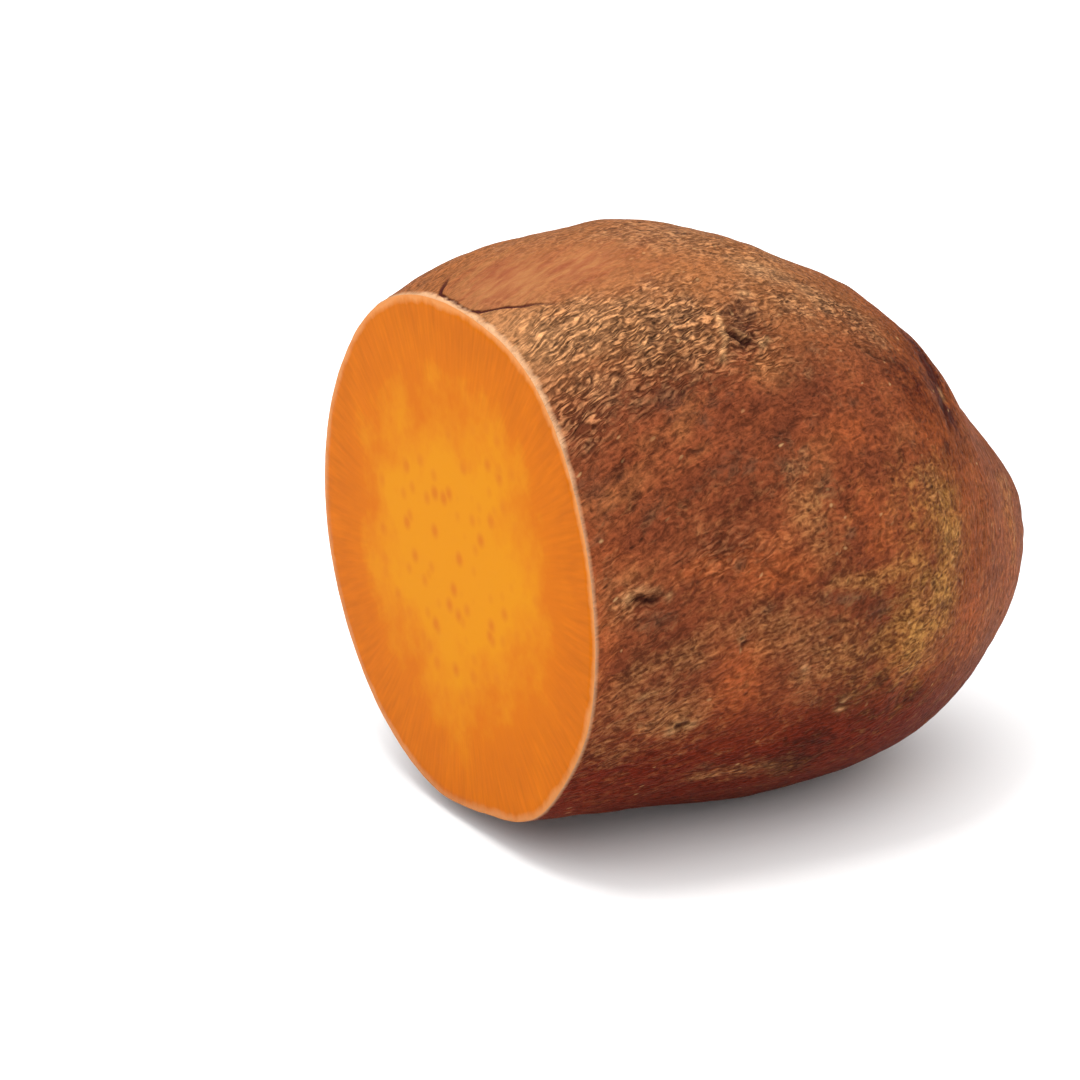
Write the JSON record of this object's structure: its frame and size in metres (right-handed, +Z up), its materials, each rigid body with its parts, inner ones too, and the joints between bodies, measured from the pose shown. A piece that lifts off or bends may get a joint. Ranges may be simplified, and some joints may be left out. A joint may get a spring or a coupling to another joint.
{
  "type": "sweet potato",
  "caption": "Large piece of an orange-fleshed sweet potato, cut square across at one end and closed by its blunt root tip, lying on a small flat spot.",
  "frame": {"origin": "middle of the object's box, at the height of the surface that it rests on", "axes": "+X along the root from the cut face to the root tip, -Y towards the side with the large eye, +Z up from the belly that it rests on"},
  "size_m": [0.0976, 0.091, 0.0859],
  "materials": {
    "skin": "thin copper-brown skin, matt, wrinkled and mottled"
  },
  "bodies": {
    "root": {"sweet_potato": "skin"}
  },
  "joints": []
}
